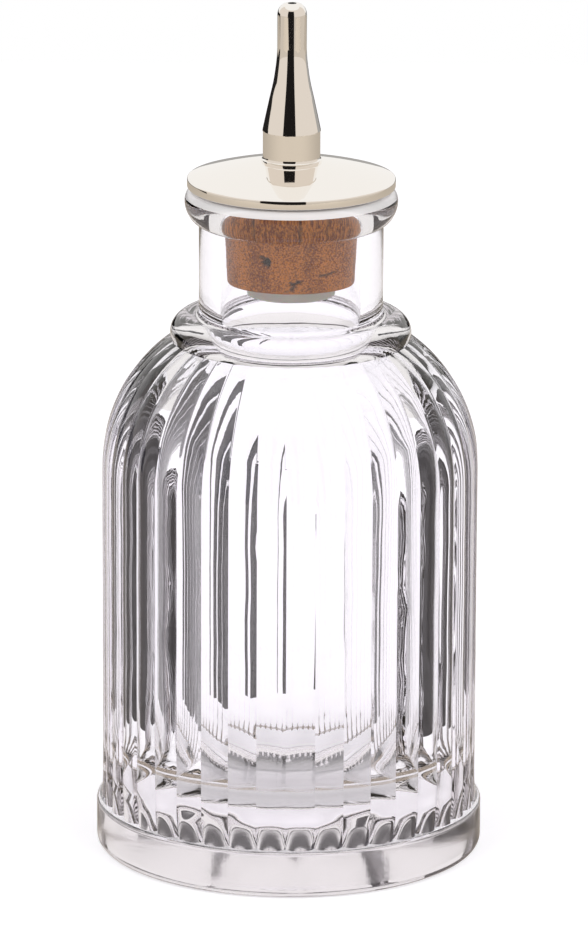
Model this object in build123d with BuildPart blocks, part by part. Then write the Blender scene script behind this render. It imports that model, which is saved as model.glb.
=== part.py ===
from build123d import *
from math import acos, cos, degrees, radians, sin, sqrt
import os

# A dasher bottle for cocktail bitters: a ribbed pressed-glass bottle, closed by a tapered
# cork that carries a polished metal cap plate and a tapered pouring spout. The spout's stem
# screws into a flanged plastic sleeve, which holds plate, cork and sleeve together.
# Millimetres, +Z up. The origin is the middle of the foot, on the table.

# Glass bottle, outside
body_diameter = 62.0  # over the crests of the ribs
flange_ledge = 1.0  # how far the plain foot flange stands out below the ribs
flange_height = 8.0
flange_top_edge = 0.7  # rounding of the ledge's outer corner
flange_foot_edge = 1.6  # rounding where the flange meets the table
dish_inset = 5.5  # from the flange's edge to the shallow hollow under the foot
dish_depth = 0.7
collar_height = 87.5  # widest level of the rounded bead at the root of the neck
collar_overhang = 4.7  # how far the bead stands out from the neck
collar_bead = 3.1  # the bead's own radius
collar_root = 1.9  # how far the bead reaches down into the shoulder
shoulder_drop = 22.5  # the straight body ends this far below the bead's widest level
shoulder_inset = 1.77  # the shoulder's round aims this far inside the bead's edge
neck_wall = 3.65
neck_rise = 24.2  # from the bead's widest level to the mouth
neck_fillet = 0.8  # between the bead and the neck
lip_overhang = 2.35  # how far the lip stands out from the neck
lip_drop = 1.9  # the lip's widest level lies this far below the mouth
lip_under_width = 3.4  # underside of the lip, part of an ellipse
lip_under_drop = 4.05
lip_edge_width = 1.6  # upper edge of the lip, a quarter of another
mouth_edge = 0.8  # rounding of the mouth's inner edge

# Glass bottle, ribs
rib_count = 40
rib_depth = 0.5  # from crest to valley on the straight body
rib_fade_share = 0.8  # of that depth, what the ribs lose on their way up to the bead
first_rib = 3.5  # degrees from the front, -Y, towards +X
cove_height = 5.0  # the ribs widen over this height above the flange
cove_flare = 0.2  # how far their crests widen there
cove_dig = 0.6  # how far their valleys draw in there
cove_root = 0.5  # how far the rib ends reach down into the flange
rib_top_inset = 0.5  # how far inside the bead the ribs end
cove_shares = [0.0, 0.25, 0.5, 0.75, 1.0]
shoulder_shares = [0.0, 0.06, 0.2, 0.4, 0.6, 0.8, 1.0]

# Glass bottle, inside
wall = 8.3  # from the rib valleys to the cavity
floor_height = 11.5
floor_corner = 9.0
neck_bore = 22.9
cavity_drop = 17.5  # the cavity's upright wall ends this far below the bead's widest level
throat_drop = 1.56  # the cavity meets the neck this far below the same level
throat_round = 5.0  # where the cavity narrows into the neck

# Cork
cork_fit = 0.1  # between the cork's upper edge and the neck bore
cork_taper = 0.95  # how much the cork's radius narrows to its foot
cork_length = 15.4
cork_edge = 0.5

# Cap plate
plate_gap = 0.3  # between the lip and the plate
plate_inset = 0.4  # the plate ends this far inside the lip's edge
plate_rim = 1.5  # height of the plate's rim band
plate_edge = 0.25
dome_rise = 2.75  # from the rim band to the spout's seat
dome_radius = 85.0
seat_margin = 0.13  # the flat seat reaches this far past the spout's foot
hole_fit = 0.1  # between the plate's hole and the stem

# Flanged sleeve
sleeve_wall = 0.94  # round the socket
sleeve_fit = 0.05  # between the sleeve and the cork's bore
sleeve_flange_diameter = 14.6
sleeve_flange_height = 2.2
sleeve_edge = 0.3
sleeve_bore = 2.6
sleeve_top_gap = 0.5  # the sleeve ends this far below the plate
socket_fit = 0.06  # running fit of the stem in the sleeve's socket
socket_relief = 0.8  # free depth of the socket below the stem

# Spout, with levels counted from its seat on the plate
spout_length = 26.25
stem_diameter = 4.4
stem_engagement = 8.0  # length of the stem inside the sleeve
barrel_diameter = 9.4
foot_overhang = 0.27  # how far the thin ring at the foot stands out from the barrel
foot_ring = 0.4  # height of that ring
foot_cove = 0.5  # height of the hollow round above the ring
flare_overhang = 0.08  # the flare ends in a sharp edge that stands out this far
flare_level = 5.2
flare_lip = 0.12
tip_level = 18.9
tip_diameter = 4.8
tip_round = 1.9
pour_hole = 1.44
pour_land = 0.12  # flat ring round the pour hole
bore_diameter = 2.4
bore_end = 4.0  # metal left above the wide bore
flare_width_shares = [0.585, 0.19]
flare_height_shares = [0.34, 0.665]

cut = 1.0  # overrun of cuts

# Radii that follow from the sizes above
body_radius = body_diameter / 2
flange_radius = body_radius + flange_ledge
cavity_radius = body_radius - rib_depth - wall
bore_radius = neck_bore / 2
neck_radius = bore_radius + neck_wall
collar_radius = neck_radius + collar_overhang
lip_radius = neck_radius + lip_overhang
cork_top_radius = bore_radius - cork_fit
cork_foot_radius = cork_top_radius - cork_taper
stem_radius = stem_diameter / 2
socket_radius = stem_radius + socket_fit
sleeve_radius = socket_radius + sleeve_wall
cork_bore_radius = sleeve_radius + sleeve_fit
barrel_radius = barrel_diameter / 2
foot_radius = barrel_radius + foot_overhang
flare_radius = barrel_radius + flare_overhang
seat_radius = foot_radius + seat_margin
plate_radius = lip_radius - plate_inset

# Levels that follow from the sizes above
shoulder_height = collar_height - shoulder_drop
cavity_height = collar_height - cavity_drop
throat_height = collar_height - throat_drop
mouth_height = collar_height + neck_rise
lip_height = mouth_height - lip_drop
plate_foot = mouth_height + plate_gap
seat_height = plate_foot + plate_rim + dome_rise
cork_foot = plate_foot - cork_length
sleeve_top = plate_foot - sleeve_top_gap
stem_foot = sleeve_top - stem_engagement
sleeve_foot = cork_foot - sleeve_flange_height
spout_top = seat_height + spout_length


def rounding(inward, rise):
    """Radius of the arc that leaves an upright wall and ends that far inward and that far up."""
    return (inward**2 + rise**2) / (2 * inward)


shoulder_radius = rounding(body_radius - collar_radius + shoulder_inset, shoulder_drop)
shoulder_centre = body_radius - shoulder_radius
inner_shoulder_radius = rounding(cavity_radius - bore_radius, throat_height - cavity_height)


class ReededFace(BaseSketchObject):
    """One level of the ribbed body: outward arcs that meet in sharp valleys."""

    def __init__(self, crest_radius, depth, rotation=0, align=None, mode=Mode.ADD):
        step = 360 / rib_count
        with BuildSketch() as level:
            with BuildLine():
                for index in range(rib_count):
                    crest = first_rib - 90 + step * index
                    turns = [radians(crest - step / 2), radians(crest), radians(crest + step / 2)]
                    reaches = [crest_radius - depth, crest_radius, crest_radius - depth]
                    ThreePointArc(*[(r * cos(t), r * sin(t)) for r, t in zip(reaches, turns)])
            make_face()
        super().__init__(level.sketch, rotation, align, mode)


# Glass bottle: foot flange, ribbed body, collar bead, neck and lip, and the cavity
with BuildPart() as glass_bottle:
    # Foot flange
    with BuildSketch(Plane.XZ) as flange_profile:
        with BuildLine():
            Polyline((0, 0), (flange_radius, 0), (flange_radius, flange_height), (0, flange_height), close=True)
        make_face()
        fillet(flange_profile.vertices().sort_by_distance((flange_radius, 0))[0], radius=flange_foot_edge)
        ledge_corner = flange_profile.vertices().sort_by_distance((flange_radius, flange_height))[0]
        fillet(ledge_corner, radius=flange_top_edge)
    revolve(axis=Axis.Z)

    # Straight ribbed body
    with BuildSketch(Plane.XY.offset(flange_height + cove_height)):
        ReededFace(body_radius, rib_depth)
    extrude(amount=shoulder_height - flange_height - cove_height)

    # Rib ends: crests spread and valleys draw in, down to the scallops on the flange's ledge
    for share in cove_shares:
        spread_share = (1 - share) ** 2
        with BuildSketch(Plane.XY.offset(flange_height + cove_height * share)):
            ReededFace(
                body_radius + cove_flare * spread_share,
                rib_depth + (cove_flare + cove_dig) * spread_share,
            )
    loft()
    with BuildSketch(Plane.XY.offset(flange_height - cove_root)):
        ReededFace(body_radius + cove_flare, rib_depth + cove_flare + cove_dig)
    extrude(amount=cove_root)

    # Ribbed shoulder, narrowing towards the collar
    rib_top_radius = collar_radius - rib_top_inset
    shoulder_turn = acos((rib_top_radius - shoulder_centre) / shoulder_radius)
    for share in shoulder_shares:
        crest_radius = shoulder_centre + shoulder_radius * cos(shoulder_turn * share)
        with BuildSketch(Plane.XY.offset(shoulder_height + shoulder_radius * sin(shoulder_turn * share))):
            ReededFace(crest_radius, rib_depth * (1 - rib_fade_share * share))
    loft()

    # Collar bead, neck and lip
    bead_centre = collar_radius - collar_bead
    bead_foot = (bead_centre + sqrt(collar_bead**2 - collar_root**2), collar_height - collar_root)
    neck_foot = (neck_radius, collar_height + sqrt(collar_bead**2 - (neck_radius - bead_centre) ** 2))
    under_centre = lip_radius - lip_under_width
    under_start = -degrees(acos((neck_radius - under_centre) / lip_under_width))
    with BuildSketch(Plane.XZ) as neck_profile:
        with BuildLine():
            underside = EllipticalCenterArc(
                (under_centre, lip_height),
                lip_under_width,
                lip_under_drop,
                start_angle=under_start,
                arc_size=-under_start,
            )
            edge = EllipticalCenterArc(
                (lip_radius - lip_edge_width, lip_height),
                lip_edge_width,
                mouth_height - lip_height,
                start_angle=0,
                arc_size=90,
            )
            Polyline(edge @ 1, (0, mouth_height), (0, bead_foot[1]), bead_foot)
            ThreePointArc(bead_foot, (collar_radius, collar_height), neck_foot)
            Line(neck_foot, underside @ 0)
        make_face()
        fillet(neck_profile.vertices().sort_by_distance(neck_foot)[0], radius=neck_fillet)
    revolve(axis=Axis.Z)

    # Cavity, with its rounded floor corner, its shoulder and its throat, and the neck's bore
    throat = (bore_radius, throat_height)
    with BuildSketch(Plane.XZ) as cavity_profile:
        with BuildLine():
            Polyline((0, floor_height), (cavity_radius, floor_height), (cavity_radius, cavity_height))
            RadiusArc((cavity_radius, cavity_height), throat, -inner_shoulder_radius)
            Polyline(throat, (bore_radius, mouth_height + cut), (0, mouth_height + cut), (0, floor_height))
        make_face()
        fillet(
            cavity_profile.vertices().sort_by_distance((cavity_radius, floor_height))[0],
            radius=floor_corner,
        )
        fillet(cavity_profile.vertices().sort_by_distance(throat)[0], radius=throat_round)
    revolve(axis=Axis.Z, mode=Mode.SUBTRACT)
    mouth_rings = glass_bottle.edges().filter_by(GeomType.CIRCLE).group_by(Axis.Z)[-1]
    fillet(mouth_rings.sort_by(SortBy.RADIUS)[0], radius=mouth_edge)

    # Shallow hollow under the foot, a slice of a large ball
    dish_radius = flange_radius - dish_inset
    ball_radius = (dish_radius**2 + dish_depth**2) / (2 * dish_depth)
    with Locations((0, 0, dish_depth - ball_radius)):
        Sphere(ball_radius, mode=Mode.SUBTRACT)
glass_bottle.part.label = "glass_bottle"

# Cork: a tapered plug, bored for the sleeve
with BuildPart() as cork_stopper:
    with BuildSketch(Plane.XZ) as cork_profile:
        with BuildLine():
            Polyline(
                (cork_bore_radius, cork_foot),
                (cork_foot_radius, cork_foot),
                (cork_top_radius, plate_foot),
                (cork_bore_radius, plate_foot),
                close=True,
            )
        make_face()
        fillet(cork_profile.vertices().sort_by_distance((cork_foot_radius, cork_foot))[0], radius=cork_edge)
    revolve(axis=Axis.Z)
cork_stopper.part.label = "cork_stopper"

# Cap plate: a turned disc with a low dome, a plain rim band and a flat seat for the spout
with BuildPart() as cap_plate:
    hole_radius = stem_radius + hole_fit
    with BuildSketch(Plane.XZ) as plate_profile:
        with BuildLine():
            Polyline(
                (seat_radius, seat_height),
                (hole_radius, seat_height),
                (hole_radius, plate_foot),
                (plate_radius, plate_foot),
                (plate_radius, plate_foot + plate_rim),
            )
            RadiusArc((seat_radius, seat_height), (plate_radius, plate_foot + plate_rim), dome_radius)
        make_face()
        fillet(plate_profile.vertices().group_by(Axis.X)[-1], radius=plate_edge)
    revolve(axis=Axis.Z)
cap_plate.part.label = "cap_plate"

# Sleeve: a moulded tube with a flange under the cork and a socket for the stem
with BuildPart() as dasher_sleeve:
    with BuildSketch(Plane.XZ) as sleeve_profile:
        with BuildLine():
            Polyline(
                (sleeve_bore / 2, sleeve_foot),
                (sleeve_flange_diameter / 2, sleeve_foot),
                (sleeve_flange_diameter / 2, cork_foot),
                (sleeve_radius, cork_foot),
                (sleeve_radius, sleeve_top),
                (socket_radius, sleeve_top),
                (socket_radius, stem_foot - socket_relief),
                (sleeve_bore / 2, stem_foot - socket_relief),
                close=True,
            )
        make_face()
        fillet(sleeve_profile.vertices().group_by(Axis.X)[-1], radius=sleeve_edge)
    revolve(axis=Axis.Z)
dasher_sleeve.part.label = "dasher_sleeve"

# Spout: stem, foot ring, barrel, flare, straight tip and the bore down to the pour hole
with BuildPart() as pouring_spout:
    tip_radius = tip_diameter / 2
    flare_height = seat_height + flare_level
    tip_height = seat_height + tip_level
    tip_land_radius = pour_hole / 2 + pour_land
    flare_points = [
        (
            tip_radius + (flare_radius - tip_radius) * width_share,
            flare_height + (tip_height - flare_height) * height_share,
        )
        for width_share, height_share in zip(flare_width_shares, flare_height_shares)
    ]
    with BuildSketch(Plane.XZ):
        with BuildLine():
            Polyline(
                (0, stem_foot),
                (stem_radius, stem_foot),
                (stem_radius, seat_height),
                (foot_radius, seat_height),
                (foot_radius, seat_height + foot_ring),
            )
            cove = EllipticalCenterArc(
                (foot_radius, seat_height + foot_ring + foot_cove),
                foot_radius - barrel_radius,
                foot_cove,
                start_angle=180,
                arc_size=90,
            )
            Polyline(
                cove @ 0,
                (barrel_radius, flare_height - flare_lip),
                (flare_radius, flare_height - flare_lip / 2),
                (flare_radius, flare_height),
            )
            Spline((flare_radius, flare_height), *flare_points, (tip_radius, tip_height))
            crown = EllipticalCenterArc(
                (tip_land_radius, spout_top - tip_round),
                tip_radius - tip_land_radius,
                tip_round,
                start_angle=0,
                arc_size=90,
            )
            Line((tip_radius, tip_height), crown @ 0)
            Polyline(crown @ 1, (0, spout_top), (0, stem_foot))
        make_face()
    revolve(axis=Axis.Z)
    with BuildSketch(Plane.XY.offset(stem_foot)):
        Circle(bore_diameter / 2)
    extrude(amount=spout_top - bore_end - stem_foot, mode=Mode.SUBTRACT)
    with BuildSketch(Plane.XY.offset(spout_top - bore_end)):
        Circle(pour_hole / 2)
    extrude(amount=bore_end, mode=Mode.SUBTRACT)
pouring_spout.part.label = "pouring_spout"

os.makedirs("parts", exist_ok=True)
for piece in (glass_bottle, cork_stopper, cap_plate, dasher_sleeve, pouring_spout):
    export_step(piece.part, f"parts/{piece.part.label}.step")
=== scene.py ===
"""Looks of a dasher bottle for cocktail bitters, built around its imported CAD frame."""

import logging
import math
import random
from dataclasses import dataclass, replace
from enum import Enum

import bpy
from mathutils import Euler, Matrix, Vector, noise


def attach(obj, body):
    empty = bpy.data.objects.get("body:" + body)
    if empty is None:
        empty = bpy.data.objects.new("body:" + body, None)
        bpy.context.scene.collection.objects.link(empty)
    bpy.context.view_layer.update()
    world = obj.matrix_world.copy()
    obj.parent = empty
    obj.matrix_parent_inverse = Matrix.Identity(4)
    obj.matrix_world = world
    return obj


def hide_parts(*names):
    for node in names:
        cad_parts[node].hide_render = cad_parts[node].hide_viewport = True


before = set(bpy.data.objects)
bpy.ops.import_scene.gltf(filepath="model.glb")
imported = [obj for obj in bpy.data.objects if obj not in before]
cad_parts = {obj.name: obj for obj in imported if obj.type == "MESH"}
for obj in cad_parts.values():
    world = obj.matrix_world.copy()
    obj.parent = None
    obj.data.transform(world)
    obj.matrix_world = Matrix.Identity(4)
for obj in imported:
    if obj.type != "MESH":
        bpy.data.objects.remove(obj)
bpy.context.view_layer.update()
MM = 0.001
HOLD = 0.06  # mm from the end of a straight face to the ring that keeps its shading
LOG = logging.getLogger("dasher_bottle")


class Body(Enum):
    """CAD bodies that the pieces ride on."""

    BOTTLE = "bottle"
    STOPPER = "stopper"
    CAP = "cap"
    SPOUT = "spout"


class Slot(Enum):
    """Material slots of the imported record."""

    GLASS = "clear_glass"
    CORK = "natural_cork"
    METAL = "polished_metal"
    PLASTIC = "translucent_plastic"


class Seen(Enum):
    """What shows a studio screen: light through the glass, or a mirror image."""

    THROUGH = "through the glass"
    MIRRORED = "in a mirror image"


def linear(code: str) -> tuple[float, float, float, float]:
    """Turns an sRGB hex colour into linear RGBA.

    Args:
        code: Colour such as "#C08A5E".

    Returns:
        Red, green and blue in linear light, and an alpha of 1.
    """
    parts = [int(code[i : i + 2], 16) / 255 for i in (1, 3, 5)]
    light = [p / 12.92 if p <= 0.04045 else ((p + 0.055) / 1.055) ** 2.4 for p in parts]
    return (light[0], light[1], light[2], 1.0)


def add(tree: bpy.types.NodeTree, kind: str, *inputs: object, **settings: object) -> bpy.types.Node:
    """Adds a node with its settings and links.

    Args:
        tree: Tree that gets the node.
        kind: Node type.
        inputs: Values in socket order, None to leave one alone, or a dict by socket name. A socket
            is linked, and a node gives its first output that is in use.
        settings: Node properties, set first because they choose the sockets.

    Returns:
        The new node.
    """
    node = tree.nodes.new(kind)
    for name, value in settings.items():
        setattr(node, name, value)
    shown = [socket for socket in node.inputs if socket.enabled]
    pairs = []
    for index, value in enumerate(inputs):
        if isinstance(value, dict):
            pairs += [
                (next(s for s in shown if s.name == name), given) for name, given in value.items()
            ]
        elif value is not None:
            pairs.append((shown[index], value))
    for socket, value in pairs:
        if isinstance(value, bpy.types.Node):
            value = next(output for output in value.outputs if output.enabled)
        if isinstance(value, bpy.types.NodeSocket):
            tree.links.new(value, socket)
        else:
            socket.default_value = value
    return node


def eye_rays(tree: bpy.types.NodeTree) -> bpy.types.Node:
    """Adds the test for a ray that the eye follows, straight or through glass.

    Args:
        tree: Tree that gets the nodes.

    Returns:
        The node that gives 1 for such a ray and 0 for any other.
    """
    path = add(tree, "ShaderNodeLightPath").outputs
    straight_on, through = path["Is Camera Ray"], path["Is Transmission Ray"]
    return add(tree, "ShaderNodeMath", straight_on, through, operation="MAXIMUM")


@dataclass(frozen=True)
class Ring:
    """One level of a turned outline, in millimetres.

    reed is the depth of the ribs there, dip how far their valleys sink, and wave how far the
    surface wanders from its true radius.
    """

    radius: float
    height: float
    reed: float = 0.0
    dip: float = 0.0
    wave: float = 0.0


def arc(
    centre: tuple[float, float],
    radii: tuple[float, float],
    start: float,
    end: float,
    steps: int,
    wave: float = 0.0,
) -> list[Ring]:
    """Rings along an arc of a circle or an ellipse.

    Args:
        centre: Radius and height of its centre.
        radii: Its half width and half height.
        start: First angle in degrees, from outwards towards up.
        end: Last angle.
        steps: Stretches between the two.
        wave: Unevenness of the surface.

    Returns:
        The rings, both ends among them.
    """
    rings = []
    for index in range(steps + 1):
        turn = math.radians(start + (end - start) * index / steps)
        radius = centre[0] + radii[0] * math.cos(turn)
        rings.append(Ring(radius, centre[1] + radii[1] * math.sin(turn), wave=wave))
    return rings


def straight(
    radius: float, start: float, end: float, wave: float = 0.0, step: float = 1.0
) -> list[Ring]:
    """Rings up a cylinder, close together at its ends and evenly spaced between.

    Args:
        radius: The cylinder's radius.
        start: Height of the ring before the first.
        end: Height of the last ring.
        wave: Unevenness of the surface.
        step: About the height between two rings.

    Returns:
        The rings, without the one at the start.
    """
    steps = max(2, round((end - start) / step))
    close = HOLD / (end - start)
    shares = [close, *(n / steps for n in range(1, steps)), 1 - close, 1.0]
    return [Ring(radius, start + (end - start) * share, wave=wave) for share in shares]


def eased(corners: list[tuple[float, float, float]], steps: int = 4) -> list[Ring]:
    """Rings of a straight-sided outline with rounded corners.

    Args:
        corners: Radius, height and rounding of each corner of a closed outline.
        steps: Stretches in each rounding.

    Returns:
        The rings, in the corners' order.
    """
    rings = []
    for index, (x, z, rounding) in enumerate(corners):
        here = Vector((x, z))
        if rounding == 0:
            rings.append(Ring(x, z))
            continue
        back = (Vector(corners[index - 1][:2]) - here).normalized()
        ahead = (Vector(corners[(index + 1) % len(corners)][:2]) - here).normalized()
        half = back.angle(ahead) / 2
        reach = rounding / math.tan(half)
        middle = here + (back + ahead).normalized() * (rounding / math.sin(half))
        first = here + back * reach - middle
        last = here + ahead * reach - middle
        for share in (n / steps for n in range(steps + 1)):
            spoke = first.slerp(last, share).normalized() * rounding
            rings.append(Ring(middle.x + spoke.x, middle.y + spoke.y))
    return rings


class Turner:
    """Geometry Nodes tree that turns an outline about the upright axis and reeds it with ribs."""

    MERGE_GAP = 0.001  # mm, below which two points become one
    DRIFT = 14.0  # mm up the axis in which the unevenness changes as much as in a radian
    WANDER_SCALE = 2.6

    def __init__(self) -> None:
        """Builds the tree once for every turned piece."""
        tree = bpy.data.node_groups.new("turned_outline", "GeometryNodeTree")
        kinds = {
            "Outline": "NodeSocketGeometry",
            "Columns": "NodeSocketInt",
            "Closed": "NodeSocketInt",
            "Rib Count": "NodeSocketInt",
            "First Rib": "NodeSocketFloat",
            "Crease": "NodeSocketFloat",
            "Wave Seed": "NodeSocketFloat",
            "Finish": "NodeSocketMaterial",
        }
        self.inputs = {
            name: tree.interface.new_socket(name, in_out="INPUT", socket_type=kind).identifier
            for name, kind in kinds.items()
        }
        tree.interface.new_socket("Piece", in_out="OUTPUT", socket_type="NodeSocketGeometry")
        self.tree = tree
        given = add(tree, "NodeGroupInput").outputs
        row, turn = self._grid(given)
        place = self._place(given, row, turn)
        moved = add(tree, "GeometryNodeSetPosition", self.grid, {"Position": place})
        merged = add(tree, "GeometryNodeMergeByDistance", moved, {"Distance": self.MERGE_GAP * MM})
        smooth = add(tree, "GeometryNodeSetShadeSmooth", merged, {"Shade Smooth": True})
        bend = add(tree, "GeometryNodeInputMeshEdgeAngle")
        sharp = add(tree, "FunctionNodeCompare", bend, given["Crease"], operation="GREATER_THAN")
        creased = add(
            tree,
            "GeometryNodeSetShadeSmooth",
            smooth,
            {"Selection": sharp, "Shade Smooth": False},
            domain="EDGE",
        )
        real = add(tree, "GeometryNodeRealizeInstances", creased)
        done = add(tree, "GeometryNodeSetMaterial", real, {"Material": given["Finish"]})
        add(tree, "NodeGroupOutput", done)

    def _grid(self, given: bpy.types.NodeOutputs) -> tuple[bpy.types.Node, bpy.types.Node]:
        """Adds the grid of columns by levels.

        Args:
            given: The tree's inputs.

        Returns:
            Nodes for the level's number in the outline and for the column's angle.
        """
        tree = self.tree
        count = add(tree, "GeometryNodeAttributeDomainSize", given["Outline"]).outputs["Point Count"]
        levels = add(tree, "ShaderNodeMath", count, given["Closed"], operation="ADD")
        columns = add(tree, "ShaderNodeMath", given["Columns"], 1.0, operation="ADD")
        self.grid = add(tree, "GeometryNodeMeshGrid", {"Vertices X": columns, "Vertices Y": levels})
        index = add(tree, "GeometryNodeInputIndex")
        share = add(tree, "ShaderNodeMath", index, levels, operation="DIVIDE")
        column = add(tree, "ShaderNodeMath", share, operation="FLOOR")
        before = add(tree, "ShaderNodeMath", column, levels, operation="MULTIPLY")
        level = add(tree, "ShaderNodeMath", index, before, operation="SUBTRACT")
        row = add(tree, "ShaderNodeMath", level, count, operation="MODULO")
        step = add(tree, "ShaderNodeMath", math.tau, given["Columns"], operation="DIVIDE")
        swung = add(tree, "ShaderNodeMath", column, step, operation="MULTIPLY")
        pitch = add(tree, "ShaderNodeMath", math.tau, given["Rib Count"], operation="DIVIDE")
        self.half = add(tree, "ShaderNodeMath", pitch, 2.0, operation="DIVIDE")
        first = add(tree, "ShaderNodeMath", given["First Rib"], self.half, operation="ADD")
        turn = add(tree, "ShaderNodeMath", swung, first, operation="ADD")
        # Angle from the nearest crest, between minus and plus half a rib
        ribs = add(tree, "ShaderNodeMath", swung, pitch, operation="DIVIDE")
        part = add(tree, "ShaderNodeMath", ribs, operation="FRACT")
        centred = add(tree, "ShaderNodeMath", part, 0.5, operation="SUBTRACT")
        self.off = add(tree, "ShaderNodeMath", centred, pitch, operation="MULTIPLY")
        return row, turn

    def _place(
        self, given: bpy.types.NodeOutputs, row: bpy.types.Node, turn: bpy.types.Node
    ) -> bpy.types.Node:
        """Adds the nodes for a grid point's place on the turned and ribbed surface.

        Args:
            given: The tree's inputs.
            row: Level's number in the outline.
            turn: Column's angle.

        Returns:
            The node that gives the place.
        """
        tree = self.tree
        at = add(tree, "GeometryNodeInputPosition")
        level = add(
            tree,
            "GeometryNodeSampleIndex",
            {"Geometry": given["Outline"], "Value": at, "Index": row},
            data_type="FLOAT_VECTOR",
            clamp=True,
        )
        level = add(tree, "ShaderNodeSeparateXYZ", level)
        held = {}
        for name in ("reed", "dip", "wave"):
            stored = add(tree, "GeometryNodeInputNamedAttribute", {"Name": name}, data_type="FLOAT")
            held[name] = add(
                tree,
                "GeometryNodeSampleIndex",
                {"Geometry": given["Outline"], "Value": stored, "Index": row},
                data_type="FLOAT",
                clamp=True,
            )
        crest = level.outputs["X"]
        # A rib is the arc through two valleys and the crest between them
        valley = add(tree, "ShaderNodeMath", crest, held["reed"], operation="SUBTRACT")
        side = add(tree, "ShaderNodeMath", self.half, operation="SINE")
        wide = add(tree, "ShaderNodeMath", valley, side, operation="MULTIPLY")
        fore = add(tree, "ShaderNodeMath", self.half, operation="COSINE")
        chord = add(tree, "ShaderNodeMath", valley, fore, operation="MULTIPLY")
        rise = add(tree, "ShaderNodeMath", crest, chord, operation="SUBTRACT")
        wide2 = add(tree, "ShaderNodeMath", wide, wide, operation="MULTIPLY")
        both = add(tree, "ShaderNodeMath", rise, rise, wide2, operation="MULTIPLY_ADD")
        twice = add(tree, "ShaderNodeMath", rise, 2.0, operation="MULTIPLY")
        rib = add(tree, "ShaderNodeMath", both, twice, operation="DIVIDE")
        centre = add(tree, "ShaderNodeMath", crest, rib, operation="SUBTRACT")
        sway = add(tree, "ShaderNodeMath", self.off, operation="SINE")
        across = add(tree, "ShaderNodeMath", centre, sway, operation="MULTIPLY")
        rib2 = add(tree, "ShaderNodeMath", rib, rib, operation="MULTIPLY")
        across2 = add(tree, "ShaderNodeMath", across, across, operation="MULTIPLY")
        left = add(tree, "ShaderNodeMath", rib2, across2, operation="SUBTRACT")
        root = add(tree, "ShaderNodeMath", left, operation="SQRT")
        lean = add(tree, "ShaderNodeMath", self.off, operation="COSINE")
        ribbed = add(tree, "ShaderNodeMath", centre, lean, root, operation="MULTIPLY_ADD")
        # The surface wanders a little from the true form
        sine = add(tree, "ShaderNodeMath", turn, operation="SINE")
        cosine = add(tree, "ShaderNodeMath", turn, operation="COSINE")
        climb = 1 / (self.DRIFT * MM)
        drift = add(tree, "ShaderNodeMath", level.outputs["Z"], climb, operation="MULTIPLY")
        spot = add(tree, "ShaderNodeCombineXYZ", sine, cosine, drift)
        wander = add(
            tree,
            "ShaderNodeTexNoise",
            {
                "Vector": spot,
                "W": given["Wave Seed"],
                "Scale": self.WANDER_SCALE,
                "Detail": 1.0,
            },
            noise_dimensions="4D",
        )
        swing = add(tree, "ShaderNodeMath", wander, 0.5, operation="SUBTRACT")
        radius = add(tree, "ShaderNodeMath", swing, held["wave"], ribbed, operation="MULTIPLY_ADD")
        share = add(tree, "ShaderNodeMath", self.off, self.half, operation="DIVIDE")
        share2 = add(tree, "ShaderNodeMath", share, share, operation="MULTIPLY")
        sunk = add(tree, "ShaderNodeMath", share2, held["dip"], operation="MULTIPLY")
        height = add(tree, "ShaderNodeMath", level.outputs["Z"], sunk, operation="SUBTRACT")
        x = add(tree, "ShaderNodeMath", radius, sine, operation="MULTIPLY")
        back = add(tree, "ShaderNodeMath", radius, cosine, operation="MULTIPLY")
        y = add(tree, "ShaderNodeMath", back, -1.0, operation="MULTIPLY")
        return add(tree, "ShaderNodeCombineXYZ", x, y, height)

    def turn(
        self,
        name: str,
        rings: list[Ring],
        finish: bpy.types.Material,
        columns: int,
        closed: bool = True,
        ribs: tuple[int, float] = (4, 0.0),
        crease: float = 30.0,
        seed: float = 0.0,
    ) -> bpy.types.Object:
        """Turns an outline into a piece.

        Args:
            name: The piece's name.
            rings: Its outline, running outwards below, up outside and back inwards above.
            finish: Its material.
            columns: Number of columns round the axis, a multiple of the rib count.
            closed: Whether the outline's last ring joins the first, as round a bore.
            ribs: Number of ribs, and degrees from the front to a crest.
            crease: Degrees between faces from which an edge is sharp.
            seed: Seed of the surface's unevenness.

        Returns:
            The object, a plain mesh at the origin.
        """
        outline = bpy.data.meshes.new(f"{name}_outline")
        outline.from_pydata([(r.radius * MM, 0.0, r.height * MM) for r in rings], [], [])
        for key in ("reed", "dip", "wave"):
            values = outline.attributes.new(key, "FLOAT", "POINT")
            values.data.foreach_set("value", [getattr(r, key) * MM for r in rings])
        source = bpy.data.objects.new(f"{name}_outline", outline)
        return evaluate(
            name,
            source,
            self.tree,
            {
                self.inputs["Columns"]: columns,
                self.inputs["Closed"]: int(closed),
                self.inputs["Rib Count"]: ribs[0],
                self.inputs["First Rib"]: math.radians(ribs[1]),
                self.inputs["Crease"]: math.radians(crease),
                self.inputs["Wave Seed"]: seed,
                self.inputs["Finish"]: finish,
            },
        )


def evaluate(
    name: str, source: bpy.types.Object, tree: bpy.types.NodeTree, values: dict[str, object]
) -> bpy.types.Object:
    """Runs a Geometry Nodes tree on an object and keeps the result as a plain mesh.

    Args:
        name: Name of the new object.
        source: Object that the tree starts from. It is removed.
        tree: The tree.
        values: Input values by socket identifier.

    Returns:
        The new object.
    """
    bpy.context.scene.collection.objects.link(source)
    modifier = source.modifiers.new("nodes", "NODES")
    modifier.node_group = tree
    for identifier, value in values.items():
        modifier[identifier] = value
    graph = bpy.context.evaluated_depsgraph_get()
    mesh = bpy.data.meshes.new_from_object(source.evaluated_get(graph), depsgraph=graph)
    mesh.name = name
    source.modifiers.remove(modifier)
    bpy.data.objects.remove(source)
    piece = bpy.data.objects.new(name, mesh)
    bpy.context.scene.collection.objects.link(piece)
    return piece


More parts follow.
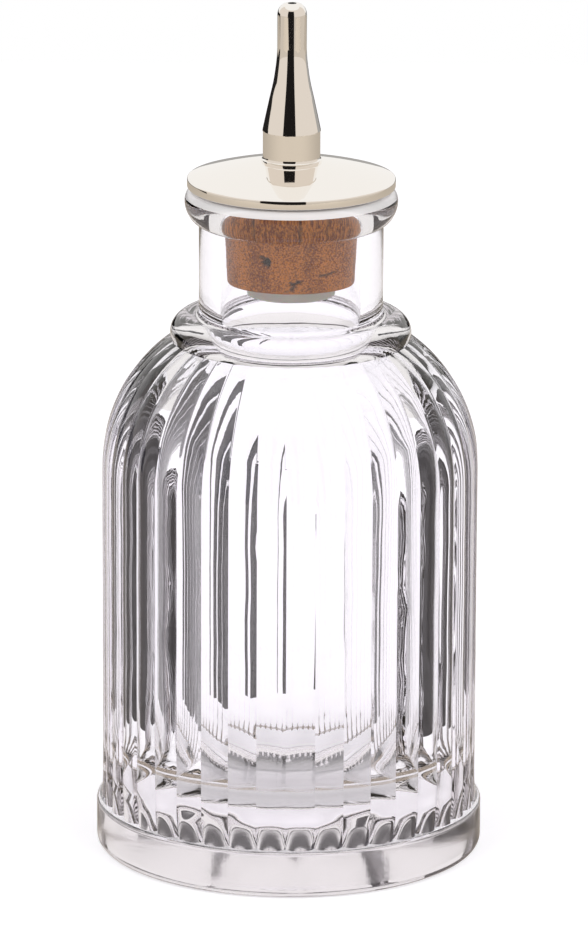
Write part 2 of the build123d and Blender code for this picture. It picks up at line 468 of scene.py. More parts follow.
def install(piece: bpy.types.Object, body: Body, node: str) -> None:
    """Puts a finished piece in the place of its CAD node.

    Args:
        piece: The finished piece.
        body: CAD body that it rides on.
        node: CAD node that it stands for.
    """
    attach(piece, body.value)
    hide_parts(node)
    LOG.info("%s rides on %s with %d faces", piece.name, body.value, len(piece.data.polygons))


@dataclass(frozen=True)
class PressedGlass:
    """Clear soda-lime glass, pressed in a mould and fire polished.

    The skin is glossy, with long faint draw lines that the mould leaves. With short and deep
    relief it is the stippled middle of the foot. With less transmission it is hazy white glass on
    the mouth's edge, a painted highlight that stands in for light carried up the clear wall.
    """

    name: str = "fire_polished_pressed_glass"
    tint: str = "#FDFCFE"
    ior: float = 1.52
    depth_tint: str = "#F5F1F6"
    depth_density: float = 14.0  # absorption per metre where the tint is black
    roughness: float = 0.0
    transmission: float = 1.0
    line_spacing: float = 1.0  # mm between draw lines
    line_length: float = 40.0  # mm
    line_depth: float = 0.004  # mm

    def material(self) -> bpy.types.Material:
        """Builds the material."""
        made = bpy.data.materials.new(self.name)
        made.use_nodes = True
        tree = made.node_tree
        tree.nodes.clear()
        place = add(tree, "ShaderNodeTexCoord").outputs["Object"]
        across, along = 1 / (self.line_spacing * MM), 1 / (self.line_length * MM)
        drawn = add(tree, "ShaderNodeMapping", {"Vector": place, "Scale": (across, across, along)})
        lines = add(tree, "ShaderNodeTexNoise", {"Vector": drawn, "Scale": 1.0, "Detail": 2.0})
        skin = add(
            tree,
            "ShaderNodeBump",
            {"Strength": 1.0, "Distance": self.line_depth * MM, "Height": lines},
        )
        shade = add(
            tree,
            "ShaderNodeBsdfPrincipled",
            {
                "Base Color": linear(self.tint),
                "Roughness": self.roughness,
                "IOR": self.ior,
                "Transmission Weight": self.transmission,
                "Normal": skin,
            },
        )
        depth = add(
            tree,
            "ShaderNodeVolumeAbsorption",
            {"Color": linear(self.depth_tint), "Density": self.depth_density},
        )
        add(tree, "ShaderNodeOutputMaterial", {"Surface": shade, "Volume": depth})
        return made


@dataclass(frozen=True)
class PolishedNickel:
    """Turned brass, buffed and bright nickel plated.

    It mirrors the room with a warm tone, through hair-fine marks of the buffing wheel.
    """

    colour: str = "#FAF7F3"
    roughness: float = 0.03
    mark_spacing: float = 0.5  # mm between buffing marks, coarser than real so that they show
    mark_strength: float = 0.02

    def material(self) -> bpy.types.Material:
        """Builds the material."""
        made = bpy.data.materials.new("buffed_bright_nickel_plate")
        made.use_nodes = True
        tree = made.node_tree
        tree.nodes.clear()
        place = add(tree, "ShaderNodeTexCoord").outputs["Object"]
        fine = 1 / (self.mark_spacing * MM)
        marks = add(tree, "ShaderNodeTexNoise", {"Vector": place, "Scale": fine, "Detail": 3.0})
        haze = add(
            tree,
            "ShaderNodeMapRange",
            {
                "Value": marks,
                "To Min": self.roughness - self.mark_strength,
                "To Max": self.roughness + self.mark_strength,
            },
        )
        shade = add(
            tree,
            "ShaderNodeBsdfPrincipled",
            {"Base Color": linear(self.colour), "Metallic": 1.0, "Roughness": haze},
        )
        add(tree, "ShaderNodeOutputMaterial", shade)
        return made


@dataclass(frozen=True)
class NaturalCork:
    """Punched bark cork, sanded to a taper.

    The eye sees warm brown cells in a fine grain, darker growth streaks and nearly black pores.
    """

    light: str = "#D2802C"
    dark: str = "#7A3A0C"
    pore: str = "#2A1D16"
    grain: float = 0.27  # mm across a cluster of cells
    streak: float = 2.2  # mm between growth streaks
    streak_share: float = 0.3  # how strongly the streaks add to the grain
    tones: tuple[float, float] = (0.575, 0.715)  # values of that sum for dark and for light
    relief: float = 0.12  # mm from a cell to its wall
    roughness: float = 0.85

    def material(self) -> bpy.types.Material:
        """Builds the material."""
        made = bpy.data.materials.new("sanded_natural_cork")
        made.use_nodes = True
        tree = made.node_tree
        tree.nodes.clear()
        place = add(tree, "ShaderNodeTexCoord").outputs["Object"]
        grain = add(
            tree,
            "ShaderNodeTexNoise",
            {"Vector": place, "Scale": 1 / (self.grain * MM), "Detail": 4.0, "Roughness": 0.75},
        )
        stretch = add(tree, "ShaderNodeMapping", {"Vector": place, "Scale": (1.0, 1.0, 0.25)})
        streak = add(
            tree,
            "ShaderNodeTexNoise",
            {"Vector": stretch, "Scale": 1 / (self.streak * MM), "Detail": 3.0},
        )
        both = add(
            tree, "ShaderNodeMath", streak, self.streak_share, grain, operation="MULTIPLY_ADD"
        )
        low, high = self.tones
        tone = add(tree, "ShaderNodeMapRange", {"Value": both, "From Min": low, "From Max": high})
        wood = add(
            tree,
            "ShaderNodeMix",
            {"Factor": tone, "A": linear(self.dark), "B": linear(self.light)},
            data_type="RGBA",
        )
        pit = add(tree, "ShaderNodeAttribute", attribute_name="pit")
        colour = add(
            tree,
            "ShaderNodeMix",
            {"Factor": pit.outputs["Fac"], "A": wood, "B": linear(self.pore)},
            data_type="RGBA",
        )
        bump = {"Strength": 0.6, "Distance": self.relief * MM, "Height": grain}
        relief = add(tree, "ShaderNodeBump", bump)
        shade = add(
            tree,
            "ShaderNodeBsdfPrincipled",
            {"Base Color": colour, "Roughness": self.roughness, "Normal": relief},
        )
        add(tree, "ShaderNodeOutputMaterial", shade)
        return made


@dataclass(frozen=True)
class MilkyPlastic:
    """Natural low-density polyethylene, injection moulded.

    It is waxy and lets light through without showing what lies behind it.
    """

    light: str = "#F2F0E6"
    dark: str = "#E2E1D6"
    cloud: float = 3.0  # mm across the clouds in the melt
    roughness: float = 0.35
    ior: float = 1.51
    transmission: float = 0.35
    milkiness: float = 0.5  # share of the light that scatters inside
    depth: float = 2.0  # mm that scattered light travels

    def material(self) -> bpy.types.Material:
        """Builds the material."""
        made = bpy.data.materials.new("moulded_natural_polyethylene")
        made.use_nodes = True
        tree = made.node_tree
        tree.nodes.clear()
        place = add(tree, "ShaderNodeTexCoord").outputs["Object"]
        cloud = add(tree, "ShaderNodeTexNoise", {"Vector": place, "Scale": 1 / (self.cloud * MM)})
        colour = add(
            tree,
            "ShaderNodeMix",
            {"Factor": cloud, "A": linear(self.dark), "B": linear(self.light)},
            data_type="RGBA",
        )
        shade = add(
            tree,
            "ShaderNodeBsdfPrincipled",
            {
                "Base Color": colour,
                "Roughness": self.roughness,
                "IOR": self.ior,
                "Transmission Weight": self.transmission,
                "Subsurface Weight": self.milkiness,
                "Subsurface Scale": self.depth * MM,
            },
        )
        add(tree, "ShaderNodeOutputMaterial", shade)
        return made


@dataclass
class GlassBottle:
    """The pressed bottle: foot flange, ribbed body, collar bead, neck, lip and cavity.

    Sizes are in millimetres and the same as the CAD solid's.
    """

    body_radius: float = 31.0
    flange_radius: float = 32.0
    flange_height: float = 8.0
    flange_top_edge: float = 0.7
    flange_foot_edge: float = 1.6
    dish_radius: float = 26.5
    dish_depth: float = 0.7
    dish_shares: tuple[float, ...] = (0.0, 0.25, 0.5, 0.75, 0.9, 0.98)
    rib_count: int = 40
    rib_depth: float = 0.5
    rib_fade_share: float = 0.8  # what the ribs lose of their depth on the way up to the bead
    first_rib: float = 3.5
    cove_height: float = 5.0
    cove_flare: float = 0.2
    cove_dig: float = 0.6
    cove_shares: tuple[float, ...] = (0.0, 0.1, 0.25, 0.45, 0.7, 1.0)
    shoulder_height: float = 65.0
    shoulder_centre: float = 5.0
    shoulder_radius: float = 26.0
    shoulder_steps: int = 24
    collar_radius: float = 19.8
    collar_height: float = 87.5
    collar_bead: float = 3.1
    collar_reed: float = 0.08  # what is left of the ribs where they meet the bead
    collar_dip: float = 0.1  # how far their valleys sink there
    bead_turn: float = 3.0  # degrees along the bead from there to its first ring
    neck_radius: float = 15.1
    neck_fillet: float = 0.8
    neck_end: float = 106.0  # just below the lip's underside
    neck_shares: tuple[float, ...] = (0.1, 0.25, 0.5, 0.75, 0.95)
    lip_radius: float = 17.45
    lip_height: float = 109.8
    lip_under: tuple[float, float] = (3.4, 4.05)
    lip_edge_width: float = 1.6
    mouth_height: float = 111.7
    mouth_edge: float = 0.8
    bore_radius: float = 11.45
    cavity_radius: float = 22.2
    inner_shoulder: float = 17.2
    cavity_height: float = 70.0
    throat_round: float = 5.0
    floor_height: float = 11.5
    floor_corner: float = 9.0
    wall_steps: int = 12
    wave_seed: float = 3.0
    wall_wave: float = 0.42  # how far the cavity wanders, crest to trough
    neck_wave: float = 0.12
    rib_wave: float = 0.14
    stipple_radius: float = 22.0
    highlight_drop: float = 1.15  # the painted highlight of hazy white glass at the mouth starts this far below the mouth
    columns_per_rib: int = 12
    ring_step: float = 2.0

    def foot(self) -> list[Ring]:
        """Rings of the hollow under the foot, the flange and its ledge."""
        ball = (self.dish_radius**2 + self.dish_depth**2) / (2 * self.dish_depth)
        rings = []
        for share in self.dish_shares:
            radius = self.dish_radius * share
            sag = ball - math.sqrt(ball**2 - radius**2)
            rings.append(Ring(radius, self.dish_depth - sag))
        rings.append(Ring(self.dish_radius + self.dish_depth, 0.0))
        edge = self.flange_foot_edge
        rings += arc((self.flange_radius - edge, edge), (edge, edge), -90, 0, 8)
        edge = self.flange_top_edge
        top = (self.flange_radius - edge, self.flange_height - edge)
        return rings + arc(top, (edge, edge), 0, 90, 6)

    def ribs(self) -> list[Ring]:
        """Rings of the ribbed body and shoulder, up to the collar bead."""
        rings = []
        for share in self.cove_shares:
            spread = (1 - share) ** 2
            rings.append(
                Ring(
                    self.body_radius + self.cove_flare * spread,
                    self.flange_height + self.cove_height * share,
                    reed=self.rib_depth + (self.cove_flare + self.cove_dig) * spread,
                )
            )
        sides = straight(
            self.body_radius, rings[-1].height, self.shoulder_height, self.rib_wave, self.ring_step
        )
        rings += [replace(ring, reed=self.rib_depth) for ring in sides]
        top = self.collar_height - self.collar_bead / 2
        last = math.degrees(math.asin((top - self.shoulder_height) / self.shoulder_radius))
        shoulder = (self.shoulder_radius, self.shoulder_radius)
        centre = (self.shoulder_centre, self.shoulder_height)
        steps = self.shoulder_steps
        outline = arc(centre, shoulder, 0, last, steps, self.rib_wave)
        for index, ring in enumerate(outline[1:], start=1):
            left = 1 - self.rib_fade_share * index / steps
            rings.append(replace(ring, reed=self.rib_depth * left))
        return rings

    def collar(self) -> list[Ring]:
        """Rings of the collar bead, from the ribs to the neck."""
        bead = (self.collar_radius - self.collar_bead, self.collar_height)
        reach = Vector((bead[0] - self.shoulder_centre, bead[1] - self.shoulder_height))
        along = (self.shoulder_radius**2 - self.collar_bead**2 + reach.length**2) / (2 * reach.length)
        off = math.sqrt(self.shoulder_radius**2 - along**2)
        way = reach.normalized()
        meet = Vector((self.shoulder_centre, self.shoulder_height)) + way * along
        meet += Vector((way.y, -way.x)) * off
        start = math.degrees(math.atan2(meet.y - bead[1], meet.x - bead[0]))
        join = self.collar_bead + self.neck_fillet
        end = math.degrees(math.acos(-self.neck_fillet / join))
        rings = [Ring(meet.x, meet.y, reed=self.collar_reed, dip=self.collar_dip)]
        start += self.bead_turn
        rings += arc(bead, (self.collar_bead,) * 2, start, end, 20, self.neck_wave)
        rise = math.sqrt(join**2 - self.neck_fillet**2)
        fillet = (self.neck_radius + self.neck_fillet, self.collar_height + rise)
        rings += arc(fillet, (self.neck_fillet,) * 2, end - 180, -180, 5, self.neck_wave)[1:]
        foot = fillet[1]
        for share in self.neck_shares:
            level = foot + (self.neck_end - foot) * share
            rings.append(Ring(self.neck_radius, level, wave=self.neck_wave))
        return rings

    def lip(self) -> list[Ring]:
        """Rings of the lip, its flat top and the mouth's inner edge."""
        centre = (self.lip_radius - self.lip_under[0], self.lip_height)
        start = -math.degrees(math.acos((self.neck_radius - centre[0]) / self.lip_under[0]))
        rings = arc(centre, self.lip_under, start, 0, 14)
        edge = (self.lip_radius - self.lip_edge_width, self.lip_height)
        rise = self.mouth_height - self.lip_height
        rings += arc(edge, (self.lip_edge_width, rise), 0, 90, 9)[1:]
        inner = (self.bore_radius + self.mouth_edge, self.mouth_height - self.mouth_edge)
        return rings + arc(inner, (self.mouth_edge,) * 2, 90, 180, 6)

    def cavity(self) -> list[Ring]:
        """Rings of the bore, the throat, the cavity's shoulder and wall, and its floor."""
        centre = self.cavity_radius - self.inner_shoulder
        throat_x = self.bore_radius + self.throat_round
        rise = math.sqrt((self.inner_shoulder + self.throat_round) ** 2 - (throat_x - centre) ** 2)
        turn = math.degrees(math.atan2(rise, throat_x - centre))
        throat = (throat_x, self.cavity_height + rise)
        wave = self.wall_wave
        rings = arc(throat, (self.throat_round,) * 2, 180, 180 + turn, 8)
        shoulder = (self.inner_shoulder,) * 2
        rings += arc((centre, self.cavity_height), shoulder, turn, 0, 18, wave)[1:]
        corner = (self.cavity_radius - self.floor_corner, self.floor_height + self.floor_corner)
        for index in range(1, self.wall_steps):
            drop = (corner[1] - self.cavity_height) * index / self.wall_steps
            level = self.cavity_height + drop
            rings.append(Ring(self.cavity_radius, level, wave=wave))
        rings += arc(corner, (self.floor_corner,) * 2, 0, -90, 12, wave)
        rings.append(Ring(corner[0] / 2, self.floor_height))
        rings.append(Ring(0.0, self.floor_height))
        return rings

    def build(self, turner: Turner) -> None:
        """Builds the bottle.

        Args:
            turner: Tree that turns outlines.
        """
        rings = self.foot() + self.ribs() + self.collar() + self.lip() + self.cavity()
        piece = turner.turn(
            "ribbed_bottle",
            rings,
            PressedGlass().material(),
            columns=self.rib_count * self.columns_per_rib,
            closed=False,
            ribs=(self.rib_count, self.first_rib),
            seed=self.wave_seed,
        )
        stippled = PressedGlass(
            "stippled_pressed_glass", roughness=0.09, line_spacing=1.6, line_length=1.6, line_depth=0.008
        )
        # Hazy white glass for the mouth's top: a painted highlight in place of light carried up the wall
        highlight_glass = PressedGlass("milky_painted_highlight_glass", roughness=0.2, transmission=0.3)
        finishes = piece.data.materials
        first = len(finishes)
        finishes.append(stippled.material())
        finishes.append(highlight_glass.material())
        for face in piece.data.polygons:
            middle = face.center / MM
            if middle.z < self.dish_depth and middle.xy.length < self.stipple_radius:
                face.material_index = first
            # Faces at the mouth's top get the painted highlight
            elif middle.z > self.mouth_height - self.highlight_drop:
                face.material_index = first + 1
        install(piece, Body.BOTTLE, "glass_bottle")


@dataclass(frozen=True)
class Flaw:
    """A pit, crack or streak in the cork's skin, in millimetres."""

    RAGGED = 0.45  # how far the edge wanders, as a share of the flaw's size
    RAGS = 2.2  # wanderings of the edge in a millimetre
    EDGE = 1.15  # reach at which the flaw ends
    STEEP = 2.5  # how fast it deepens inwards from there
    SLACK = 0.5  # mm up or down past its size, where it is cut off

    turn: float  # degrees from the front, rightwards positive
    height: float
    half_width: float
    half_height: float
    lean: float = 0.0  # degrees
    depth: float = 0.3
    shade: float = 1.0

    def strength(self, turn: float, place: Vector) -> float:
        """Tells how far a point of the skin lies inside the flaw.

        Args:
            turn: The point's angle from the front, in degrees.
            place: The point, in millimetres.

        Returns:
            0 outside the flaw's ragged edge, 1 well inside.
        """
        away = (turn - self.turn + 180) % 360 - 180
        across = math.radians(away) * place.xy.length
        rise = place.z - self.height
        lean = math.radians(self.lean)
        along = across * math.cos(lean) + rise * math.sin(lean)
        off = rise * math.cos(lean) - across * math.sin(lean)
        reach = math.hypot(along / self.half_width, off / self.half_height)
        ragged = reach + self.RAGGED * noise.noise(place * self.RAGS)
        return max(0.0, min(1.0, (self.EDGE - ragged) * self.STEEP))


@dataclass
class Stopper:
    """The cork and the flanged plastic sleeve in it, in millimetres."""

    cork_bore: float = 3.25
    cork_foot_radius: float = 10.4
    cork_top_radius: float = 11.35
    cork_foot: float = 96.6
    cork_top: float = 112.0
    cork_edge: float = 0.5
    cork_step: float = 0.19
    cork_columns: int = 360
    pore_count: int = 150
    pore_seed: int = 7
    pore_margin: float = 0.5  # from the cork's ends
    pore_widths: tuple[float, float] = (0.12, 0.4)
    pore_heights: tuple[float, float] = (0.1, 0.2)
    pore_lean: float = 30.0  # degrees, either way
    pore_depth: float = 0.1
    pore_shades: tuple[float, float] = (0.25, 0.6)
    skin_depth: float = 1.0  # points this near the outside are skin
    skin_wave: float = 0.035
    skin_waves: float = 1.4  # in a millimetre
    flaws: tuple[Flaw, ...] = (
        Flaw(-20.0, 101.9, 0.75, 0.8, 15.0, 0.6),
        Flaw(-23.0, 102.6, 0.6, 0.35, -20.0, 0.3, 0.8),
        Flaw(4.0, 98.5, 1.2, 0.22, 18.0, 0.4, 0.9),
        Flaw(1.5, 98.3, 0.9, 0.2, -40.0, 0.4, 0.85),
        Flaw(6.0, 98.9, 0.5, 0.14, -12.0, 0.3, 0.8),
        Flaw(1.0, 97.5, 0.4, 0.45, 20.0, 0.4, 0.8),
        Flaw(33.0, 99.8, 1.6, 0.2, 10.0, 0.3, 0.8),
        Flaw(27.0, 99.6, 0.6, 0.25, -20.0, 0.3, 0.8),
        Flaw(-29.0, 109.0, 0.22, 3.0, 0.0, 0.1, 0.6),
        Flaw(6.6, 108.2, 0.3, 1.5, 0.0, 0.1, 0.55),
        Flaw(28.0, 108.8, 0.25, 1.8, 0.0, 0.1, 0.35),
    )
    sleeve_foot: float = 94.4
    sleeve_top: float = 111.5
    flange_radius: float = 7.3
    flange_edge: float = 0.3
    sleeve_radius: float = 3.2
    sleeve_bore: float = 1.3
    socket_radius: float = 2.26
    socket_foot: float = 102.7

    def cork(self, turner: Turner, finish: bpy.types.Material) -> None:
        """Builds the cork.

        Args:
            turner: Tree that turns outlines.
            finish: The cork's finish.
        """
        corners = [
            (self.cork_bore, self.cork_foot, 0.0),
            (self.cork_foot_radius, self.cork_foot, self.cork_edge),
            (self.cork_top_radius, self.cork_top, 0.0),
            (self.cork_bore, self.cork_top, 0.0),
        ]
        rings = []
        outline = eased(corners)
        for ring, after in zip(outline, outline[1:] + outline[:1]):
            span = math.dist((ring.radius, ring.height), (after.radius, after.height))
            parts = max(1, round(span / self.cork_step)) if ring.radius > self.cork_bore else 1
            for part in range(parts):
                share = part / parts
                rings.append(
                    Ring(
                        ring.radius + (after.radius - ring.radius) * share,
                        ring.height + (after.height - ring.height) * share,
                    )
                )
        piece = turner.turn("tapered_cork", rings, finish, columns=self.cork_columns, crease=50.0)
        self.weather(piece)
        install(piece, Body.STOPPER, "cork_stopper")

    def weather(self, piece: bpy.types.Object) -> None:
        """Sinks the flaws and small pores into the cork's skin and stores where they are.

        Args:
            piece: The cork, which gets the attribute "pit".
        """
        chance = random.Random(self.pore_seed)
        low, high = self.cork_foot + self.pore_margin, self.cork_top - self.pore_margin
        pores = [
            Flaw(
                chance.uniform(-180, 180),
                chance.uniform(low, high),
                chance.uniform(*self.pore_widths),
                chance.uniform(*self.pore_heights),
                chance.uniform(-self.pore_lean, self.pore_lean),
                depth=self.pore_depth,
                shade=chance.uniform(*self.pore_shades),
            )
            for _ in range(self.pore_count)
        ]
        mesh = piece.data
        values = []
        for vertex in mesh.vertices:
            place = vertex.co / MM
            radius = place.xy.length
            pit = sink = 0.0
            if radius > self.cork_foot_radius - self.skin_depth:
                turn = math.degrees(math.atan2(place.x, -place.y))
                for flaw in (*self.flaws, *pores):
                    if abs(place.z - flaw.height) < flaw.half_height + flaw.half_width + flaw.SLACK:
                        strength = flaw.strength(turn, place)
                        pit = max(pit, strength * flaw.shade)
                        sink = max(sink, strength * flaw.depth)
                sink += self.skin_wave * (1 + noise.noise(place * self.skin_waves))
                vertex.co.xy *= 1 - sink / radius
            values.append(pit)
        stored = mesh.attributes.new("pit", "FLOAT", "POINT")
        stored.data.foreach_set("value", values)

    def sleeve(self, turner: Turner, finish: bpy.types.Material) -> None:
        """Builds the sleeve.

        Args:
            turner: Tree that turns outlines.
            finish: The sleeve's finish.
        """
        corners = [
            (self.sleeve_bore, self.sleeve_foot, 0.0),
            (self.flange_radius, self.sleeve_foot, self.flange_edge),
            (self.flange_radius, self.cork_foot, self.flange_edge),
            (self.sleeve_radius, self.cork_foot, 0.0),
            (self.sleeve_radius, self.sleeve_top, 0.0),
            (self.socket_radius, self.sleeve_top, 0.0),
            (self.socket_radius, self.socket_foot, 0.0),
            (self.sleeve_bore, self.socket_foot, 0.0),
        ]
        piece = turner.turn("flanged_sleeve", eased(corners), finish, columns=128)
        install(piece, Body.STOPPER, "dasher_sleeve")


@dataclass
class Cap:
    """The polished plate and the pouring spout that screws through it, in millimetres."""

    hole_radius: float = 2.3
    plate_radius: float = 17.05
    plate_foot: float = 112.0
    plate_rim: float = 1.5
    plate_edge: float = 0.25
    dome_radius: float = 85.0
    seat_radius: float = 5.1
    seat_height: float = 116.25
    stem_radius: float = 2.2
    stem_foot: float = 103.5
    foot_radius: float = 4.97
    foot_ring: float = 0.4
    foot_cove: float = 0.5
    barrel_radius: float = 4.7
    flare_radius: float = 4.78
    flare_level: float = 5.2
    flare_lip: float = 0.12
    flare_shares: tuple[tuple[float, float], ...] = ((0.585, 0.34), (0.19, 0.665))
    flare_slopes: tuple[float, ...] = (-1.17, -1.24, -0.83, 0.0)  # width share by height share
    flare_steps: int = 10  # between two of its knots
    tip_level: float = 18.9
    tip_radius: float = 2.4
    tip_round: float = 1.9
    spout_length: float = 26.25
    land_radius: float = 0.84
    pour_radius: float = 0.72
    bore_radius: float = 1.2
    bore_end: float = 4.0

    def plate(self, turner: Turner, finish: bpy.types.Material) -> None:
        """Builds the plate.

        Args:
            turner: Tree that turns outlines.
            finish: The plate's finish.
        """
        rim = self.plate_foot + self.plate_rim
        outer, inner = Vector((self.plate_radius, rim)), Vector((self.seat_radius, self.seat_height))
        chord = inner - outer
        sag = math.sqrt(self.dome_radius**2 - (chord.length / 2) ** 2)
        centre = (outer + inner) / 2 - Vector((chord.y, -chord.x)).normalized() * sag
        start, end = (math.degrees(math.atan2(p.y - centre.y, p.x - centre.x)) for p in (outer, inner))
        edge = self.plate_edge
        dome = arc(tuple(centre), (self.dome_radius,) * 2, start, end, 24)
        # The rim's upper corner is rounded into the dome
        corners = eased(
            [
                (self.hole_radius, self.plate_foot, 0.0),
                (self.plate_radius, self.plate_foot, edge),
                (self.plate_radius, rim, edge),
                (dome[2].radius, dome[2].height, 0.0),
            ]
        )
        rings = corners[:-1] + dome[2:] + [Ring(self.hole_radius, self.seat_height)]
        piece = turner.turn("domed_plate", rings, finish, columns=256, crease=40.0)
        install(piece, Body.CAP, "cap_plate")

    def flare(self) -> list[Ring]:
        """Rings of the flare, a smooth curve from its sharp edge to the straight tip."""
        low, high = self.seat_height + self.flare_level, self.seat_height + self.tip_level
        knots = [(1.0, 0.0), *self.flare_shares, (0.0, 1.0)]
        slopes = self.flare_slopes
        rings = []
        for (w0, h0), (w1, h1), m0, m1 in zip(knots, knots[1:], slopes, slopes[1:]):
            for part in range(self.flare_steps):
                t = part / self.flare_steps
                span = h1 - h0
                share = (
                    (2 * t**3 - 3 * t**2 + 1) * w0
                    + (t**3 - 2 * t**2 + t) * span * m0
                    + (3 * t**2 - 2 * t**3) * w1
                    + (t**3 - t**2) * span * m1
                )
                radius = self.tip_radius + (self.flare_radius - self.tip_radius) * share
                rings.append(Ring(radius, low + (high - low) * (h0 + span * t)))
        return rings + [Ring(self.tip_radius, high)]

    def spout(self, turner: Turner, finish: bpy.types.Material) -> None:
        """Builds the spout.

        Args:
            turner: Tree that turns outlines.
            finish: The spout's finish.
        """
        seat, top = self.seat_height, self.seat_height + self.spout_length
        rings = [
            Ring(self.bore_radius, self.stem_foot),
            Ring(self.stem_radius, self.stem_foot),
            Ring(self.stem_radius, seat),
            Ring(self.foot_radius, seat),
            Ring(self.foot_radius, seat + self.foot_ring),
        ]
        step = self.foot_radius - self.barrel_radius
        hollow = (self.foot_radius, seat + self.foot_ring + self.foot_cove)
        rings += arc(hollow, (step, self.foot_cove), -90, -180, 5)[1:]
        edge = seat + self.flare_level
        rings += straight(self.barrel_radius, rings[-1].height, edge - self.flare_lip)
        rings.append(Ring(self.flare_radius, edge - self.flare_lip / 2))
        rings += self.flare()
        rings += straight(self.tip_radius, seat + self.tip_level, top - self.tip_round)[:-1]
        crown = (self.land_radius, top - self.tip_round)
        rings += arc(crown, (self.tip_radius - self.land_radius, self.tip_round), 0, 90, 14)
        rings += [
            Ring(self.pour_radius, top),
            Ring(self.pour_radius, top - self.bore_end),
            Ring(self.bore_radius, top - self.bore_end),
        ]
        piece = turner.turn("pouring_spout_shell", rings, finish, columns=192, crease=40.0)
        install(piece, Body.SPOUT, "pouring_spout")


@dataclass(frozen=True)
class Screen:
    """A curved upright screen round the bottle, seen only in its glass and metal.

    Angles are in degrees from the camera's side, rightwards positive, and lengths in metres.
    """

    FACET = 4  # degrees

    name: str
    seen: Seen
    start: float
    end: float
    distance: float
    foot: float
    head: float
    colour: str

    def build(self) -> None:
        """Builds the screen."""
        made = bpy.data.materials.new(f"plain_board_{self.name}")
        made.use_nodes = True
        made.node_tree.nodes.clear()
        glow = add(made.node_tree, "ShaderNodeEmission", linear(self.colour), 1.0)
        add(made.node_tree, "ShaderNodeOutputMaterial", glow)
        steps = max(2, round((self.end - self.start) / self.FACET))
        points = []
        for index in range(steps + 1):
            turn = math.radians(self.start + (self.end - self.start) * index / steps)
            x, y = self.distance * math.sin(turn), -self.distance * math.cos(turn)
            points += [(x, y, self.foot), (x, y, self.head)]
        faces = [(2 * i, 2 * i + 2, 2 * i + 3, 2 * i + 1) for i in range(steps)]
        mesh = bpy.data.meshes.new(self.name)
        mesh.from_pydata(points, [], faces)
        mesh.materials.append(made)
        board = bpy.data.objects.new(self.name, mesh)
        bpy.context.scene.collection.objects.link(board)
        board.visible_camera = board.visible_diffuse = board.visible_shadow = False
        board.visible_transmission = self.seen is Seen.THROUGH
        board.visible_glossy = self.seen is Seen.MIRRORED


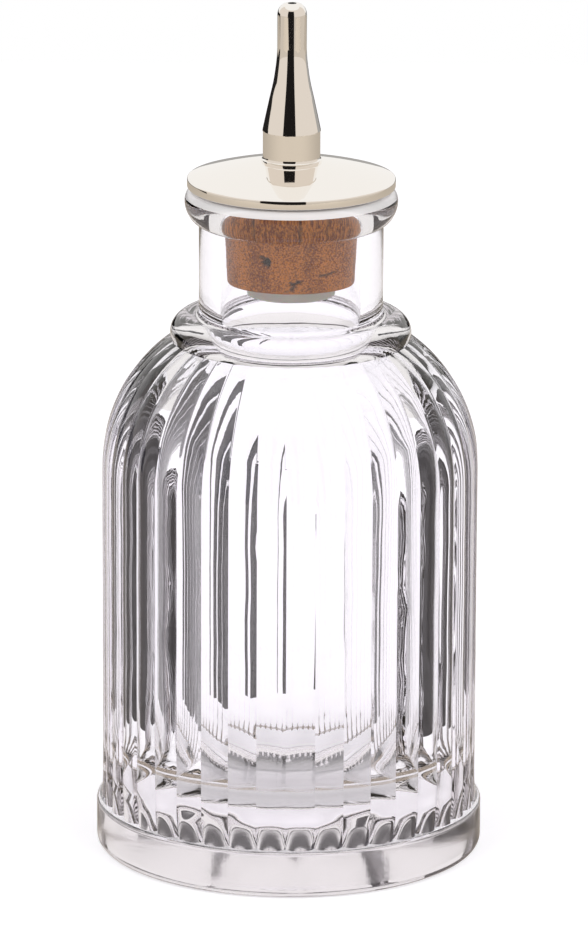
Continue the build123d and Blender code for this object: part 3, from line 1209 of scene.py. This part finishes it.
@dataclass
class Studio:
    """Plain white table, white surround, soft lamps, screens and the camera."""

    camera_place: tuple[float, float, float] = (0.0, -1172.0, 391.0)  # mm
    pitch: float = 15.59  # degrees down
    pan: float = 0.031  # degrees to the right
    roll: float = 0.26  # degrees
    focal: float = 7374.0  # pixels
    frame_size: tuple[int, int] = (588, 939)
    table_edges: tuple[float, float, float, float] = (-0.6, 0.6, -0.56, 0.6)  # m
    table_white: str = "#DAD8DC"  # to the eye, straight or through glass
    table_glow: float = 0.5
    table_paper: str = "#C9BEAF"  # in mirror images and in the light that it throws back
    room: str = "#F8F6F3"  # in mirror images
    fill: str = "#CCCCCC"  # light from all round
    lamp_place: tuple[float, float, float] = (0.9, -0.9, 0.9)  # m, on the right
    lamp_size: float = 0.9  # m
    lamp_power: float = 9.0  # W
    lamp_aim: tuple[float, float, float] = (0.0, 0.0, 0.06)  # m
    screens: tuple[Screen, ...] = (
        Screen("left_card", Seen.THROUGH, -161.5, -105.0, 0.08, 0.0, 0.062, "#3A383C"),
        Screen("right_card", Seen.THROUGH, 102.0, 133.0, 0.08, 0.0, 0.062, "#3A383C"),
        Screen("dark_above_rear", Seen.THROUGH, 140.0, 220.0, 1.5, 0.36, 0.5, "#3E3C40"),
        Screen("dark_camera_side", Seen.MIRRORED, -34.0, 16.0, 1.3, -0.16, 1.16, "#1C1A19"),
        Screen("dark_rear_left", Seen.MIRRORED, -166.0, -106.0, 1.3, -0.2, 0.14, "#242221"),
        Screen("dark_rear_right", Seen.MIRRORED, 156.0, 168.0, 1.3, -0.2, 0.14, "#242221"),
        Screen("low_room", Seen.MIRRORED, -125.0, 125.0, 1.5, -0.8, -0.02, "#CEC4B7"),
        Screen("wall", Seen.MIRRORED, -125.0, 125.0, 1.5, -0.02, 1.9, "#E3DAD0"),
        Screen("low_rear", Seen.MIRRORED, 125.0, 235.0, 1.5, -0.8, 0.1, "#A9A7A4"),
    )

    def camera(self) -> None:
        """Builds the camera at the photograph's viewing angle."""
        data = bpy.data.cameras.new("camera")
        data.sensor_width = 36.0
        data.lens = self.focal * data.sensor_width / max(self.frame_size)
        data.clip_start, data.clip_end = 0.05, 50.0
        eye = bpy.data.objects.new("camera", data)
        bpy.context.scene.collection.objects.link(eye)
        look = Euler((math.radians(90 - self.pitch), 0.0, math.radians(-self.pan)))
        turn = look.to_matrix().to_4x4() @ Matrix.Rotation(math.radians(self.roll), 4, "Z")
        eye.matrix_world = Matrix.Translation(Vector(self.camera_place) * MM) @ turn
        bpy.context.scene.camera = eye

    def surround(self) -> None:
        """Builds the world: white to the eye, a plain pale room to glass and metal."""
        world = bpy.data.worlds.new("studio")
        bpy.context.scene.world = world
        world.use_nodes = True
        tree = world.node_tree
        tree.nodes.clear()
        soft = {"Factor": eye_rays(tree), "A": linear(self.fill), "B": linear("#FFFFFF")}
        plain = add(tree, "ShaderNodeMix", soft, data_type="RGBA")
        glossy = add(tree, "ShaderNodeLightPath").outputs["Is Glossy Ray"]
        mirrored = {"Factor": glossy, "A": plain, "B": linear(self.room)}
        seen = add(tree, "ShaderNodeMix", mirrored, data_type="RGBA")
        shade = add(tree, "ShaderNodeBackground", {"Color": seen, "Strength": 1.0})
        add(tree, "ShaderNodeOutputWorld", shade)

    def table(self) -> None:
        """Builds the white table top."""
        made = bpy.data.materials.new("matt_white_board")
        made.use_nodes = True
        tree = made.node_tree
        tree.nodes.clear()
        paper = add(tree, "ShaderNodeBsdfDiffuse", {"Color": linear(self.table_paper)})
        white = add(tree, "ShaderNodeBsdfDiffuse", {"Color": linear(self.table_white)})
        light = {"Color": linear("#FFFFFF"), "Strength": self.table_glow}
        own = add(tree, "ShaderNodeEmission", light)
        glow = add(tree, "ShaderNodeAddShader", white, own)
        shade = add(tree, "ShaderNodeMixShader", eye_rays(tree), paper, glow)
        add(tree, "ShaderNodeOutputMaterial", shade)
        left, right, front, rear = self.table_edges
        mesh = bpy.data.meshes.new("table_top")
        corners = [(left, front, 0.0), (right, front, 0.0), (right, rear, 0.0), (left, rear, 0.0)]
        mesh.from_pydata(corners, [], [(0, 1, 2, 3)])
        mesh.materials.append(made)
        top = bpy.data.objects.new("table_top", mesh)
        bpy.context.scene.collection.objects.link(top)

    def lamps(self) -> None:
        """Builds two large soft lamps, left and right of the camera."""
        x, y, z = self.lamp_place
        for name, place in (("lamp_left", (-x, y, z)), ("lamp_right", (x, y, z))):
            data = bpy.data.lights.new(name, "AREA")
            data.size, data.energy = self.lamp_size, self.lamp_power
            lamp = bpy.data.objects.new(name, data)
            bpy.context.scene.collection.objects.link(lamp)
            aim = (Vector(self.lamp_aim) - Vector(place)).to_track_quat("-Z", "Y")
            lamp.matrix_world = Matrix.Translation(place) @ aim.to_matrix().to_4x4()
            lamp.visible_camera = lamp.visible_glossy = lamp.visible_transmission = False

    def build(self) -> None:
        """Builds the whole studio."""
        bpy.context.scene.view_settings.view_transform = "Standard"
        self.camera()
        self.surround()
        self.table()
        self.lamps()
        for screen in self.screens:
            screen.build()


def main() -> None:
    """Builds every piece and the studio."""
    logging.basicConfig(level=logging.INFO, format="%(name)s: %(message)s")
    Studio().build()
    turner = Turner()
    nickel = PolishedNickel().material()
    GlassBottle().build(turner)
    stopper = Stopper()
    stopper.cork(turner, NaturalCork().material())
    stopper.sleeve(turner, MilkyPlastic().material())
    cap = Cap()
    cap.plate(turner, nickel)
    cap.spout(turner, nickel)


if __name__ == "__main__":
    main()
